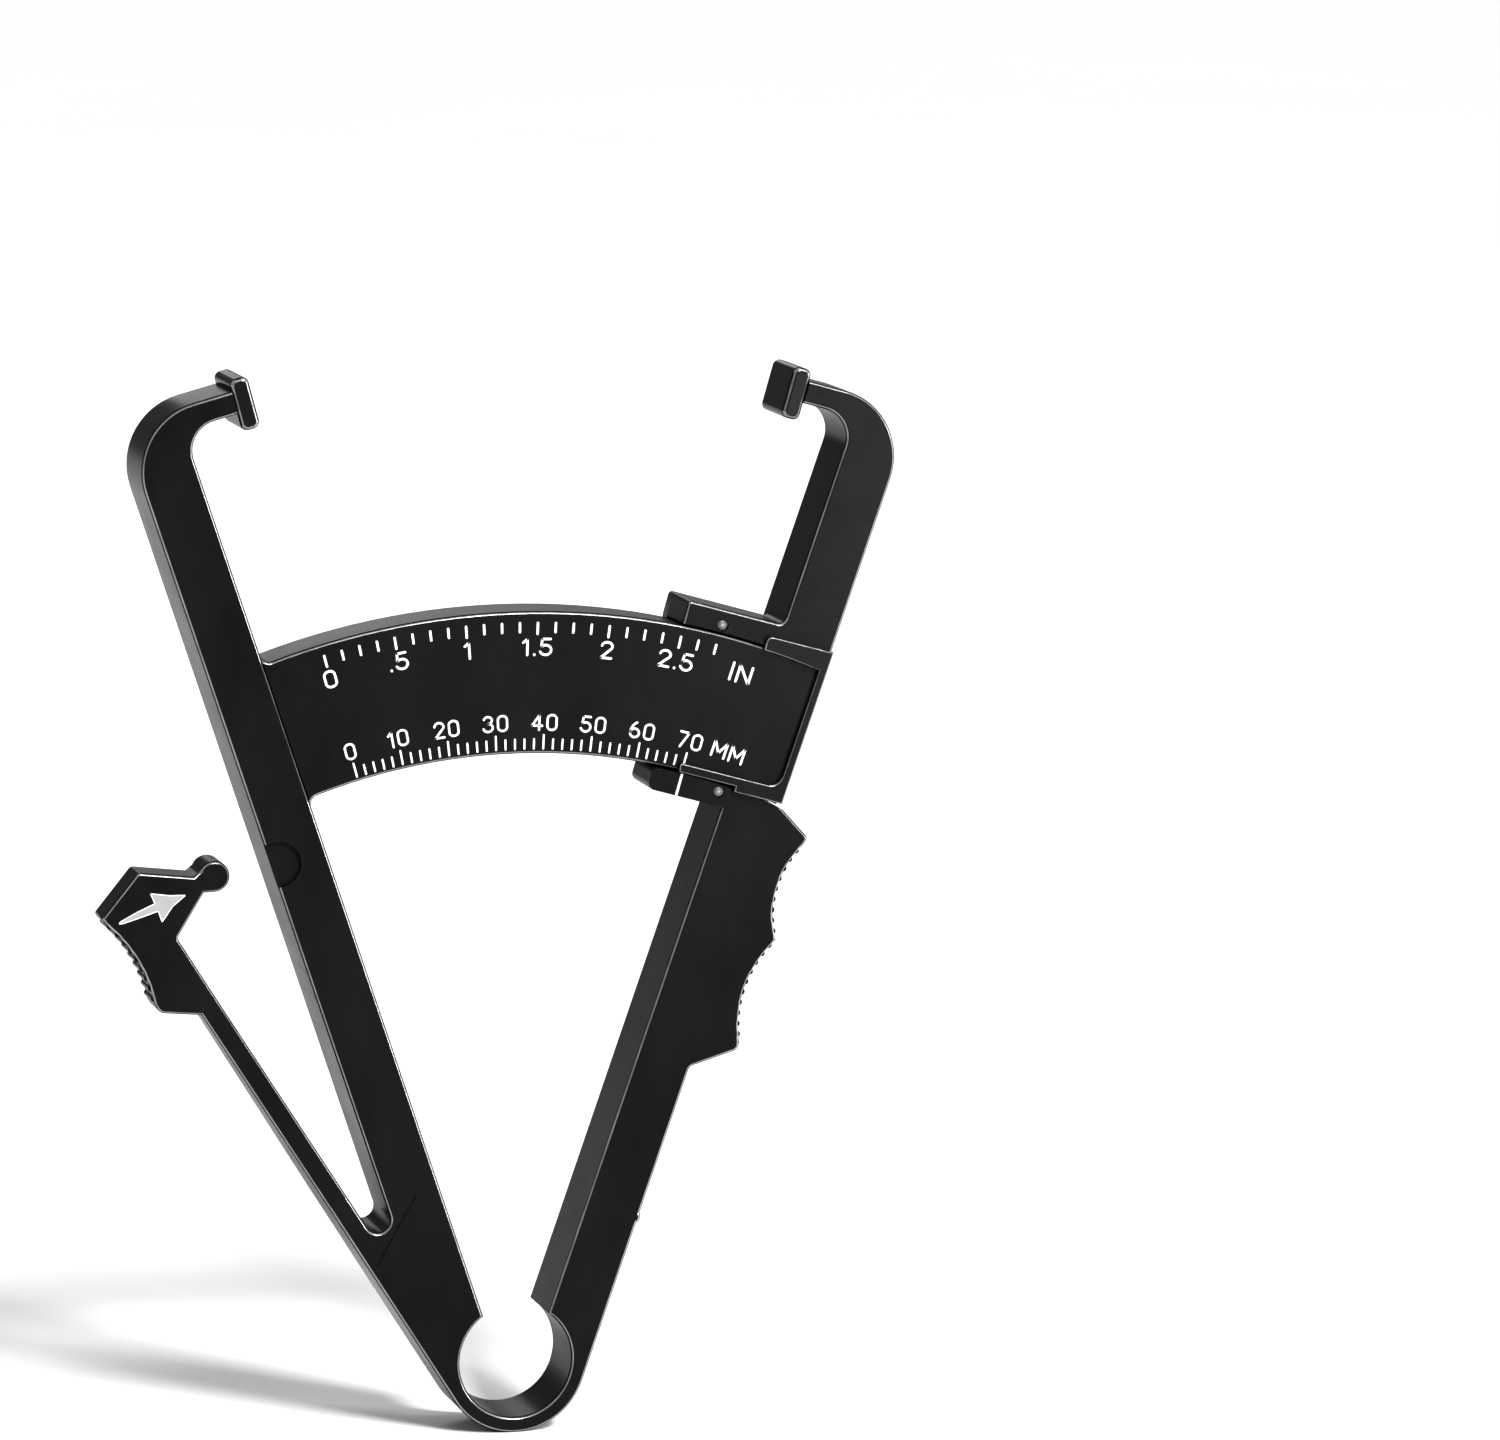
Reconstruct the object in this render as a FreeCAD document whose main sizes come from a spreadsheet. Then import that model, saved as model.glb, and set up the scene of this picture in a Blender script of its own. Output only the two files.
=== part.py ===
import FreeCAD, Part
import math
import os
from types import SimpleNamespace
import Sketcher

# Skinfold caliper. Units are millimetres and degrees.
# Origin: the centre of the ring at the foot of the arms, half way through the thickness.
# +X to the right, +Y away from the face with the printed scale, +Z up between the two arms.
# The caliper stands open. The moving arm turns about the Y axis through the origin.

VECTOR = FreeCAD.Vector

DIMENSIONS = {
    # whole tool
    "thickness": 10.4,
    "jaw_opening": 70.0,
    "jaw_radius": 130.56,
    "edge_break": 0.45,
    # the two arms, measured from the radial line of each jaw's face
    "arm_lean": 3.3,
    "arm_inner_offset": 2.15,
    "ring_inner_radius": 7.45,
    "ring_outer_radius": 9.5,
    "neck_low": 129.4,
    "neck_high": 132.4,
    "neck_inner_corner": 3.8,
    "neck_outer_corner": 9.0,
    "gate_mark_height": 22.4,
    "gate_mark_half_length": 0.7,
    "gate_mark_bulge": 0.3,
    # jaw pads
    "pad_low": 127.0,
    "pad_high": 133.8,
    "pad_width": 2.5,
    "pad_corner": 0.9,
    "pad_break": 0.6,
    # scale plate
    "plate_low_radius": 79.6,
    "plate_high_radius": 98.0,
    "plate_thickness": 7.6,
    "plate_end_inset": 0.4,
    "plate_root_fillet": 1.2,
    # the channel that rides on the scale plate
    "channel_clearance": 0.25,
    "web_clearance": 0.3,
    "rim_clearance": 0.2,
    "guide_reach": 5.2,
    "guide_width": 2.95,
    "bar_corner": 0.5,
    "bar_root_fillet": 1.0,
    "keeper_low_reach": 2.4,
    "lower_guide_reach": 4.0,
    "lower_guide_lap": 0.5,
    "lower_guide_proud": 0.5,
    "lower_guide_corner": 0.9,
    "lower_guide_nose": 0.7,
    "index_line_width": 0.32,
    "index_line_depth": 0.12,
    # window frame
    "frame_proud": 0.9,
    "frame_left": 6.1,
    "frame_top_lap": 0.35,
    "frame_top_width": 1.95,
    "frame_low_width": 1.25,
    "frame_low_left": 0.6,
    "frame_step": 0.75,
    "frame_rim_width": 1.15,
    "frame_corner": 1.6,
    "frame_top_corner": 0.8,
    "frame_gap": 0.1,
    "frame_edge_break": 0.25,
    # pins
    "pin_radius": 0.45,
    "pin_clearance": 0.02,
    "pin_head_radius": 0.7,
    "pin_sink_radius": 0.8,
    "pin_sink_depth": 0.4,
    "pin_anchor": 1.2,
    "pin_head_drop": 0.05,
    "pin_head_break": 0.2,
    "pin_edge_distance": 0.92,
    "lower_pin_reach": 5.4,
    # finger grips
    "grip_top": 78.4,
    "grip_peak_reach": 19.0,
    "grip_peak_height": 75.25,
    "grip_ridge_reach": 18.7,
    "grip_ridge_height": 74.2,
    "grip_cusp_reach": 18.6,
    "grip_cusp_height": 61.3,
    "grip_foot_reach": 17.6,
    "grip_foot_height": 46.2,
    "grip_end": 42.6,
    "grip_hollow": 1.85,
    "ridge_pitch": 1.4,
    "ridge_radius": 0.42,
    "ridge_inset": 0.12,
    "ridge_margin": 0.8,
    "grip_corner": 1.0,
    "grip_peak_corner": 0.5,
    "grip_foot_corner": 0.8,
    # thumb lever, measured from the lever's own radial line
    "lever_lean": 13.7,
    "lever_thickness": 2.78,
    "lever_root_radius": 1.65,
    "flexure_length": 5.0,
    "head_thickness": 5.8,
    "head_below_nub": 14.2,
    "head_step_below_nub": 4.0,
    "head_neck_reach": 0.75,
    "head_neck_below_nub": 1.0,
    "head_neck_above_nub": 1.5,
    "head_corner": 0.7,
    "head_break": 0.4,
    "thumb_top_corner": 0.4,
    "thumb_foot_corner": 1.2,
    "head_crown_reach": 6.35,
    "head_crown_above_nub": 6.0,
    "thumb_top_reach": 13.4,
    "thumb_top_drop": 2.4,
    "thumb_foot_reach": 13.8,
    "thumb_hollow_length": 14.5,
    "thumb_hollow": 1.05,
    "nub_reach": 1.5,
    "nub_height": 75.7,
    "nub_radius": 2.0,
    "nub_neck_half": 1.65,
    "ridge_setback": 0.6,
    # the half-round seat in the fixed arm beside which the lever's nub stops
    "seat_across": 8.55,
    "seat_along": 73.0,
    "seat_radius": 2.94,
    "seat_depth": 0.6,
    # engraved line beside the lever's root
    "crease_inner_reach": 7.0,
    "crease_inner_height": 25.3,
    "crease_outer_reach": 14.3,
    "crease_outer_height": 18.0,
    "crease_width": 0.3,
    "crease_depth": 0.2,
}
size = SimpleNamespace(**DIMENSIONS)

document = FreeCAD.newDocument("SkinfoldCaliper")
sheet = document.addObject("Spreadsheet::Sheet", "Sizes")
for row, (name, value) in enumerate(DIMENSIONS.items(), start=1):
    sheet.set("A%d" % row, name)
    sheet.set("B%d" % row, str(value))
    sheet.setAlias("B%d" % row, name)
rest_row = len(DIMENSIONS) + 1
sheet.set("A%d" % rest_row, "rest_angle")
sheet.set("B%d" % rest_row, "=asin(jaw_opening / 2 / jaw_radius)")
sheet.setAlias("B%d" % rest_row, "rest_angle")
document.recompute()

# Where each face lies along Y and how far the lever is turned, as expressions on the sheet
FRONT = "-Sizes.thickness / 2"
BACK = "Sizes.thickness / 2"
PLATE_BACK = "-Sizes.thickness / 2 + Sizes.plate_thickness"
WEB_FRONT = "-Sizes.thickness / 2 + Sizes.plate_thickness + Sizes.web_clearance"
LEVER_TURN = "-(Sizes.rest_angle + Sizes.arm_lean * 1 deg + Sizes.lever_lean * 1 deg)"
half_thickness = size.thickness / 2

# How near two places count as the same one
SAME = 1e-4

rest_angle = math.degrees(math.asin(size.jaw_opening / 2 / size.jaw_radius))
channel_low = size.plate_low_radius - size.channel_clearance
channel_high = size.plate_high_radius + size.channel_clearance
bar_top = channel_high + size.guide_width
lower_guide_foot = channel_low - size.guide_width
channel_sweep = 20.0
lever_angle = size.arm_lean + size.lever_lean
lever_inner = size.ring_outer_radius - size.lever_thickness


# ---------------------------------------------------------------- places

def turned(point, lean):
    """A point given in a line-up that leans outward, in the line-up it leans from."""
    across, along = point
    angle = math.radians(lean)
    return (across * math.cos(angle) + along * math.sin(angle),
            -across * math.sin(angle) + along * math.cos(angle))


def on_arm(across, along):
    """A point measured from the arm's own direction, in the jaw's line-up."""
    return turned((across, along), size.arm_lean)


def on_lever(across, along):
    """A point measured from the lever's own direction, in the jaw's line-up."""
    return turned((across, along), lever_angle)


def at_radius(across, radius):
    """How far along a line the given radius lies, for a line offset from the centre."""
    return math.sqrt(radius ** 2 - across ** 2)


def arm_edge_at_height(across, height):
    """The point at a height in the jaw's line-up on one of the arm's long edges."""
    lean = math.radians(size.arm_lean)
    along = (height + across * math.sin(lean)) / math.cos(lean)
    return on_arm(across, along)


def polar(radius, degrees):
    """A point at an angle from straight up, positive outward."""
    angle = math.radians(degrees)
    return (radius * math.sin(angle), radius * math.cos(angle))


def middle(first, second):
    return ((first[0] + second[0]) / 2, (first[1] + second[1]) / 2)


def moved(point, direction, distance):
    length = math.hypot(*direction)
    return (point[0] + direction[0] * distance / length,
            point[1] + direction[1] * distance / length)


# ---------------------------------------------------------------- outlines

class Outline:
    """A closed run of lines and arcs. side is 1 for outward to the right, -1 to the left."""

    def __init__(self, side, start):
        self.side = side
        self.start = start
        self.here = start
        self.pieces = []

    def vector(self, point):
        return VECTOR(self.side * point[0], point[1], 0)

    def line(self, *points):
        for point in points:
            self.pieces.append(Part.LineSegment(self.vector(self.here), self.vector(point)))
            self.here = point
        return self

    def arc(self, through, end):
        curve = Part.Arc(self.vector(self.here), self.vector(through), self.vector(end))
        self.pieces.append(curve)
        self.here = end
        return self

    def rounded(self, tip, radius, toward):
        """Run straight to a corner and round it off into the direction of the next point."""
        back = (self.here[0] - tip[0], self.here[1] - tip[1])
        ahead = (toward[0] - tip[0], toward[1] - tip[1])
        back_length = math.hypot(*back)
        ahead_length = math.hypot(*ahead)
        cosine = (back[0] * ahead[0] + back[1] * ahead[1]) / (back_length * ahead_length)
        half = math.acos(cosine) / 2
        reach = radius / math.tan(half)
        entry = moved(tip, back, reach)
        leave = moved(tip, ahead, reach)
        depth = radius / math.sin(half) - radius
        self.line(entry)
        return self.arc(moved(tip, (middle(entry, leave)[0] - tip[0],
                                    middle(entry, leave)[1] - tip[1]), depth), leave)

    def close(self):
        return self.line(self.start)


def draw(sketch, outline):
    """Put an outline on a sketch and tie each piece's end to the next one's start."""
    first = sketch.GeometryCount
    sketch.addGeometry(outline.pieces, False)
    count = len(outline.pieces)
    ends = []
    for number, piece in enumerate(outline.pieces):
        start = sketch.getPoint(first + number, 1)
        forward = start.distanceToPoint(piece.StartPoint) < SAME
        ends.append((1, 2) if forward else (2, 1))
    for number in range(count):
        following = (number + 1) % count
        sketch.addConstraint(Sketcher.Constraint(
            "Coincident", first + number, ends[number][1], first + following, ends[following][0]))


def draw_circle(sketch, side, centre, radius, bound_to):
    """Put a circle on a sketch, its radius bound to the sheet."""
    number = sketch.GeometryCount
    place = VECTOR(side * centre[0], centre[1], 0)
    sketch.addGeometry(Part.Circle(place, VECTOR(0, 0, 1), radius), False)
    constraint = sketch.addConstraint(Sketcher.Constraint("Radius", number, radius))
    sketch.setExpression("Constraints[%d]" % constraint, bound_to)


# ---------------------------------------------------------------- bodies and features

bodies = []


def new_body(name, turn):
    """A body whose own upright line is turned about the Y axis; turn is an expression."""
    body = document.addObject("PartDesign::Body", name)
    body.Label = name
    body.Placement = FreeCAD.Placement(VECTOR(0, 0, 0), FreeCAD.Rotation(VECTOR(0, 1, 0), 0))
    if turn:
        body.setExpression(".Placement.Rotation.Angle", turn)
    bodies.append(body)
    return body


def new_sketch(body, name, height, plane="XZ_Plane"):
    """A sketch on one of the body's own planes; height is an expression along its normal."""
    sketch = body.newObject("Sketcher::SketchObject", name)
    support = [part for part in body.Origin.OriginFeatures if part.Role == plane]
    sketch.AttachmentSupport = (support[0], [""])
    sketch.MapMode = "FlatFace"
    sketch.setExpression(".AttachmentOffset.Base.z", height)
    return sketch


def slab(body, name, front, back, *outlines):
    """A plate with the given outlines between two places along Y."""
    sketch = new_sketch(body, name + "_outline", "-(%s)" % back)
    for outline in outlines:
        draw(sketch, outline)
    pad = body.newObject("PartDesign::Pad", name)
    pad.Profile = sketch
    pad.setExpression("Length", "(%s) - (%s)" % (back, front))
    pad.Refine = False
    document.recompute()
    return pad


def pocket(body, name, front, depth, *outlines):
    """Cut outlines into the body, from a place along Y toward the back."""
    sketch = new_sketch(body, name + "_outline", "-(%s)" % front)
    for outline in outlines:
        draw(sketch, outline)
    cut = body.newObject("PartDesign::Pocket", name)
    cut.Profile = sketch
    cut.setExpression("Length", depth)
    document.recompute()
    return cut


def treat_edges(body, kind, name, width, wanted):
    """Fillet or chamfer every edge whose middle the test accepts, in the body's own line-up."""
    base = body.Tip
    names = []
    for number, edge in enumerate(base.Shape.Edges, start=1):
        centre = edge.valueAt((edge.FirstParameter + edge.LastParameter) / 2)
        if wanted(centre):
            names.append("Edge%d" % number)
    feature = body.newObject("PartDesign::" + kind, name)
    feature.Base = (base, names)
    feature.setExpression({"Fillet": "Radius", "Chamfer": "Size"}[kind], width)
    document.recompute()
    return feature


def on_outer_faces(point):
    """True on the front and back faces of whatever has the tool's full thickness."""
    return abs(abs(point.y) - half_thickness) < SAME


# ---------------------------------------------------------------- shared outlines

def jaw_end(outline):
    """Carry an arm's outline from its inner edge round the jaw's neck to its outer edge."""
    inner_corner = arm_edge_at_height(size.arm_inner_offset, size.neck_low)
    outer_corner = arm_edge_at_height(size.ring_outer_radius, size.neck_high)
    outer_below = arm_edge_at_height(size.ring_outer_radius, size.plate_high_radius)
    neck_end = (size.pad_width, size.neck_low)
    outline.rounded(inner_corner, size.neck_inner_corner, neck_end)
    outline.line(neck_end, (size.pad_width, size.neck_high))
    outline.rounded(outer_corner, size.neck_outer_corner, outer_below)


def ring_root():
    """Where an arm's inner edge meets the inside of the ring."""
    return on_arm(size.arm_inner_offset, at_radius(size.arm_inner_offset, size.ring_inner_radius))


def band_outline(low, high, start, end):
    """A band between two radii about the origin, from one angle to another."""
    between = (start + end) / 2
    outline = Outline(1, polar(low, start))
    outline.arc(polar(low, between), polar(low, end))
    outline.line(polar(high, end))
    outline.arc(polar(high, between), polar(high, start))
    return outline.close()


def channel_outline():
    """The space that the scale plate sweeps through the moving side, with its clearance."""
    return band_outline(channel_low, channel_high, -channel_sweep, channel_sweep)


def hollow(start, end, depth):
    """The deepest point of a shallow hollow bent toward the tool; it runs from its upper end."""
    return moved(middle(start, end), (end[1] - start[1], start[0] - end[0]), depth)


def ridge_circles(sketch, side, start, end, depth):
    """Half-sunk round ridges along a hollow."""
    deepest = hollow(start, end, depth)
    corners = [VECTOR(point[0], point[1], 0) for point in (start, deepest, end)]
    run = Part.Arc(*corners).toShape()
    count = int((run.Length - 2 * size.ridge_margin) / size.ridge_pitch) + 1
    margin = (run.Length - (count - 1) * size.ridge_pitch) / 2
    for number in range(count):
        place = run.valueAt(run.getParameterByLength(margin + number * size.ridge_pitch))
        inward = (place - run.Curve.Center).normalize() * size.ridge_inset
        seat = place + inward
        draw_circle(sketch, side, (seat.x, seat.y), size.ridge_radius, "Sizes.ridge_radius")


def ridges(body, name, side, front, back, *hollows):
    """A row of ridges along each hollow, set back from the body's two faces."""
    sketch = new_sketch(body, name + "_outline", "-(%s)" % back)
    for start, end, depth in hollows:
        ridge_circles(sketch, side, start, end, depth)
    pad = body.newObject("PartDesign::Pad", name)
    pad.Profile = sketch
    pad.setExpression("Length", "(%s) - (%s)" % (back, front))
    document.recompute()
    return pad


# ---------------------------------------------------------------- pins and the lever's hinge

# Each pin stands a little way off the channel's edge.
upper_pin = (0, channel_high + size.pin_edge_distance)
lower_pin = (size.lower_pin_reach,
             at_radius(size.lower_pin_reach, channel_low) - size.pin_edge_distance)

# The lever's hinge is the centre of the round root between the lever and the fixed arm.
root_across = size.ring_outer_radius + size.lever_root_radius
root_lean = math.radians(size.lever_lean)
root_rise = root_across * math.cos(root_lean) - lever_inner + size.lever_root_radius
root_along = root_rise / math.sin(root_lean)
hinge_on_lever = turned((root_across, root_along), -size.lever_lean)
head_foot = size.nub_height - size.head_below_nub


# ---------------------------------------------------------------- fixed side

def make_fixed_arm():
    """The left arm with its jaw's neck, the solid foot that carries the lever, and the nub's seat."""
    body = new_body("fixed_arm", "-Sizes.rest_angle")
    plate_foot = size.plate_low_radius - size.plate_root_fillet
    plate_crown = size.plate_high_radius + size.plate_root_fillet
    outline = Outline(-1, ring_root())
    for radius in (plate_foot, plate_crown):
        outline.line(on_arm(size.arm_inner_offset, at_radius(size.arm_inner_offset, radius)))
    jaw_end(outline)
    outline.line(on_arm(size.ring_outer_radius, root_along))
    root_low = (root_across - size.lever_root_radius * math.sin(root_lean / 2),
                root_along - size.lever_root_radius * math.cos(root_lean / 2))
    outline.arc(on_arm(*root_low), on_lever(lever_inner, hinge_on_lever[1]))
    outline.line(on_lever(size.ring_outer_radius, hinge_on_lever[1]))
    outline.line(on_lever(size.ring_outer_radius, 0))
    outline.line(on_lever(size.ring_inner_radius, 0))
    ring_top = math.degrees(math.atan2(*ring_root()))
    outline.arc(polar(size.ring_inner_radius, (lever_angle + 90 + ring_top) / 2), ring_root())
    slab(body, "arm_plate", FRONT, BACK, outline)

    def free_edge(point):
        across, along = turned((-point.x, point.z), -size.arm_lean)
        lever_across, lever_along = turned((-point.x, point.z), -lever_angle)
        on_plate_root = abs(across - size.arm_inner_offset) < SAME and plate_foot < along < plate_crown
        on_ring_joint = abs(lever_along) < SAME
        at_lever_foot = abs(lever_along - hinge_on_lever[1]) < SAME
        on_lever_joint = at_lever_foot and lever_across > lever_inner + SAME
        on_neck_end = -point.x < size.pad_width + SAME and along > plate_crown
        joined = on_plate_root or on_ring_joint or on_lever_joint or on_neck_end
        return on_outer_faces(point) and not joined

    treat_edges(body, "Chamfer", "arm_break", "Sizes.edge_break", free_edge)
    pocket(body, "nub_seat", FRONT, "Sizes.seat_depth", seat_outline())
    pocket(body, "crease", FRONT, "Sizes.crease_depth", crease_outline())


def seat_outline():
    """The half-round seat, open past the arm's outer edge."""
    radius = size.seat_radius
    low = size.seat_along - radius
    high = size.seat_along + radius
    mouth = size.seat_across + radius
    outline = Outline(-1, on_arm(size.seat_across, low))
    outline.arc(on_arm(size.seat_across - radius, size.seat_along), on_arm(size.seat_across, high))
    outline.line(on_arm(mouth, high), on_arm(mouth, low))
    return outline.close()


def crease_outline():
    """The fine engraved line from beside the lever's root to the outer edge of the foot."""
    inner_end = (size.crease_inner_reach, size.crease_inner_height)
    outer_end = (size.crease_outer_reach, size.crease_outer_height)
    square_to_run = (inner_end[1] - outer_end[1], outer_end[0] - inner_end[0])
    half_width = size.crease_width / 2
    outline = Outline(-1, moved(inner_end, square_to_run, half_width))
    outline.line(moved(outer_end, square_to_run, half_width))
    outline.line(moved(outer_end, square_to_run, -half_width))
    outline.line(moved(inner_end, square_to_run, -half_width))
    return outline.close()


def make_scale_plate():
    """The curved plate that carries both printed scales, butted on the fixed arm."""
    body = new_body("scale_plate", None)
    arm_angle = rest_angle + size.arm_lean

    def left_edge(radius):
        on_edge = (size.arm_inner_offset, at_radius(size.arm_inner_offset, radius))
        across, along = turned(on_edge, arm_angle)
        return (-across, along)

    def right_edge(radius):
        across = size.ring_outer_radius - size.plate_end_inset
        return turned((across, at_radius(across, radius)), arm_angle)

    def beside_root(radius):
        """The point on a plate edge where the fillet to the arm begins, and its angle."""
        root = left_edge(radius)
        degrees = math.degrees(math.atan2(root[0], root[1]) + size.plate_root_fillet / radius)
        return polar(radius, degrees)

    def root_fillet_middle(radius, end):
        """The middle of the quarter round between a plate edge and the arm."""
        root = left_edge(radius)
        chord = middle(beside_root(radius), end)
        share = 2 - math.sqrt(2)
        return (root[0] + (chord[0] - root[0]) * share, root[1] + (chord[1] - root[1]) * share)

    low = size.plate_low_radius
    high = size.plate_high_radius
    foot = left_edge(low - size.plate_root_fillet)
    crown = left_edge(high + size.plate_root_fillet)
    outline = Outline(1, foot)
    outline.arc(root_fillet_middle(low, foot), beside_root(low))
    outline.arc(polar(low, 0), right_edge(low))
    outline.line(right_edge(high))
    outline.arc(polar(high, 0), beside_root(high))
    outline.arc(root_fillet_middle(high, crown), crown)
    slab(body, "plate", FRONT, PLATE_BACK, outline.close())

    def free_edge(point):
        across = turned((-point.x, point.z), -arm_angle)[0]
        return abs(point.y + half_thickness) < SAME and across < size.arm_inner_offset - SAME

    treat_edges(body, "Chamfer", "plate_break", "Sizes.edge_break", free_edge)


def make_ring_spring():
    """The thin lower arc of the ring that bends when the arms are squeezed together."""
    body = new_body("ring_spring", None)
    right_end = rest_angle + size.arm_lean + 90
    left_end = 360 - (rest_angle + lever_angle + 90)
    slab(body, "arc", FRONT, BACK,
         band_outline(size.ring_inner_radius, size.ring_outer_radius, right_end, left_end))

    def free_edge(point):
        degrees = math.degrees(math.atan2(point.x, point.z)) % 360
        return on_outer_faces(point) and right_end + SAME < degrees < left_end - SAME

    treat_edges(body, "Chamfer", "arc_break", "Sizes.edge_break", free_edge)


def make_jaw_pad(name, side, turn):
    """The rounded block on the end of a jaw's neck; its flat face lies on the radial line."""
    body = new_body(name, turn)
    outline = Outline(side, (0, size.pad_low))
    outline.line((size.pad_width, size.pad_low), (size.pad_width, size.pad_high), (0, size.pad_high))
    slab(body, "block", FRONT, BACK, outline.close())
    treat_edges(body, "Fillet", "block_rounding", "Sizes.pad_corner", lambda point: abs(point.y) < SAME)
    treat_edges(body, "Chamfer", "block_break", "Sizes.pad_break", on_outer_faces)


# ---------------------------------------------------------------- thumb lever

def make_lever_flexure():
    """The short root of the lever that bends when the thumb presses it."""
    body = new_body("lever_flexure", LEVER_TURN)
    foot = hinge_on_lever[1]
    top = foot + size.flexure_length
    outline = Outline(-1, (lever_inner, foot))
    outline.line((size.ring_outer_radius, foot), (size.ring_outer_radius, top), (lever_inner, top))
    slab(body, "root", FRONT, BACK, outline.close())

    def free_edge(point):
        return on_outer_faces(point) and foot + SAME < point.z < top - SAME

    treat_edges(body, "Chamfer", "root_break", "Sizes.edge_break", free_edge)


def make_lever_beam():
    """The thin beam from the flexing root to the head, as thick as the head at its top."""
    body = new_body("lever_beam", LEVER_TURN)
    foot = hinge_on_lever[1] + size.flexure_length
    top = head_foot
    outline = Outline(-1, (lever_inner, foot))
    outline.line((size.ring_outer_radius, foot), (size.ring_outer_radius, top), (lever_inner, top))
    slab(body, "beam", FRONT, BACK, outline.close())

    half_head = size.head_thickness / 2
    sketch = new_sketch(body, "taper_outline", "Sizes.thickness", "YZ_Plane")
    for face in (-1, 1):
        wedge = Outline(face, (half_thickness, foot))
        wedge.line((half_head, top), (size.thickness, top), (size.thickness, foot))
        draw(sketch, wedge.close())
    taper = body.newObject("PartDesign::Pocket", "taper")
    taper.Profile = sketch
    taper.setExpression("Length", "4 * Sizes.thickness")
    document.recompute()

    def free_edge(point):
        return foot + SAME < point.z < top - SAME

    treat_edges(body, "Chamfer", "beam_break", "Sizes.head_break", free_edge)


def make_thumb_head():
    """The lever's head, with the hollow for the thumb and the nub that stops on the arm."""
    body = new_body("thumb_head", LEVER_TURN)
    neck_low = (size.head_neck_reach, size.nub_height - size.head_neck_below_nub)
    neck_high = (size.head_neck_reach, size.nub_height + size.head_neck_above_nub)
    crown = (size.head_crown_reach, size.nub_height + size.head_crown_above_nub)
    thumb_top = (size.thumb_top_reach, crown[1] - size.thumb_top_drop)
    thumb_foot = (size.thumb_foot_reach, thumb_top[1] - size.thumb_hollow_length)
    beam_inner = (lever_inner, head_foot)
    beam_outer = (size.ring_outer_radius, head_foot)
    downward = (thumb_foot[0] - thumb_top[0], thumb_foot[1] - thumb_top[1])
    hollow_start = moved(thumb_top, downward, size.head_corner)
    hollow_end = moved(thumb_foot, downward, -size.thumb_foot_corner)
    nub_neck = at_radius(size.nub_neck_half, size.nub_radius)
    nub_low = (nub_neck - size.nub_reach, size.nub_height - size.nub_neck_half)
    nub_high = (nub_neck - size.nub_reach, size.nub_height + size.nub_neck_half)

    outline = Outline(-1, beam_inner)
    outline.rounded((lever_inner, size.nub_height - size.head_step_below_nub), size.head_corner, neck_low)
    outline.line(neck_low, nub_low)
    outline.arc((-size.nub_reach - size.nub_radius, size.nub_height), nub_high)
    outline.line(neck_high)
    outline.rounded(crown, size.head_corner, thumb_top)
    outline.rounded(thumb_top, size.thumb_top_corner, hollow_start)
    outline.line(hollow_start)
    outline.arc(hollow(hollow_start, hollow_end, size.thumb_hollow), hollow_end)
    outline.rounded(thumb_foot, size.thumb_foot_corner, beam_outer)
    outline.line(beam_outer)
    front = "-Sizes.head_thickness / 2"
    back = "Sizes.head_thickness / 2"
    slab(body, "head", front, back, outline.close())

    def free_edge(point):
        on_face = abs(abs(point.y) - size.head_thickness / 2) < SAME
        return on_face and point.z > head_foot + SAME

    treat_edges(body, "Chamfer", "head_break", "Sizes.head_break", free_edge)
    ridges(body, "thumb_ridges", -1, front + " + Sizes.ridge_setback", back + " - Sizes.ridge_setback",
           (hollow_start, hollow_end, size.thumb_hollow))


# ---------------------------------------------------------------- moving side

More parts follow.
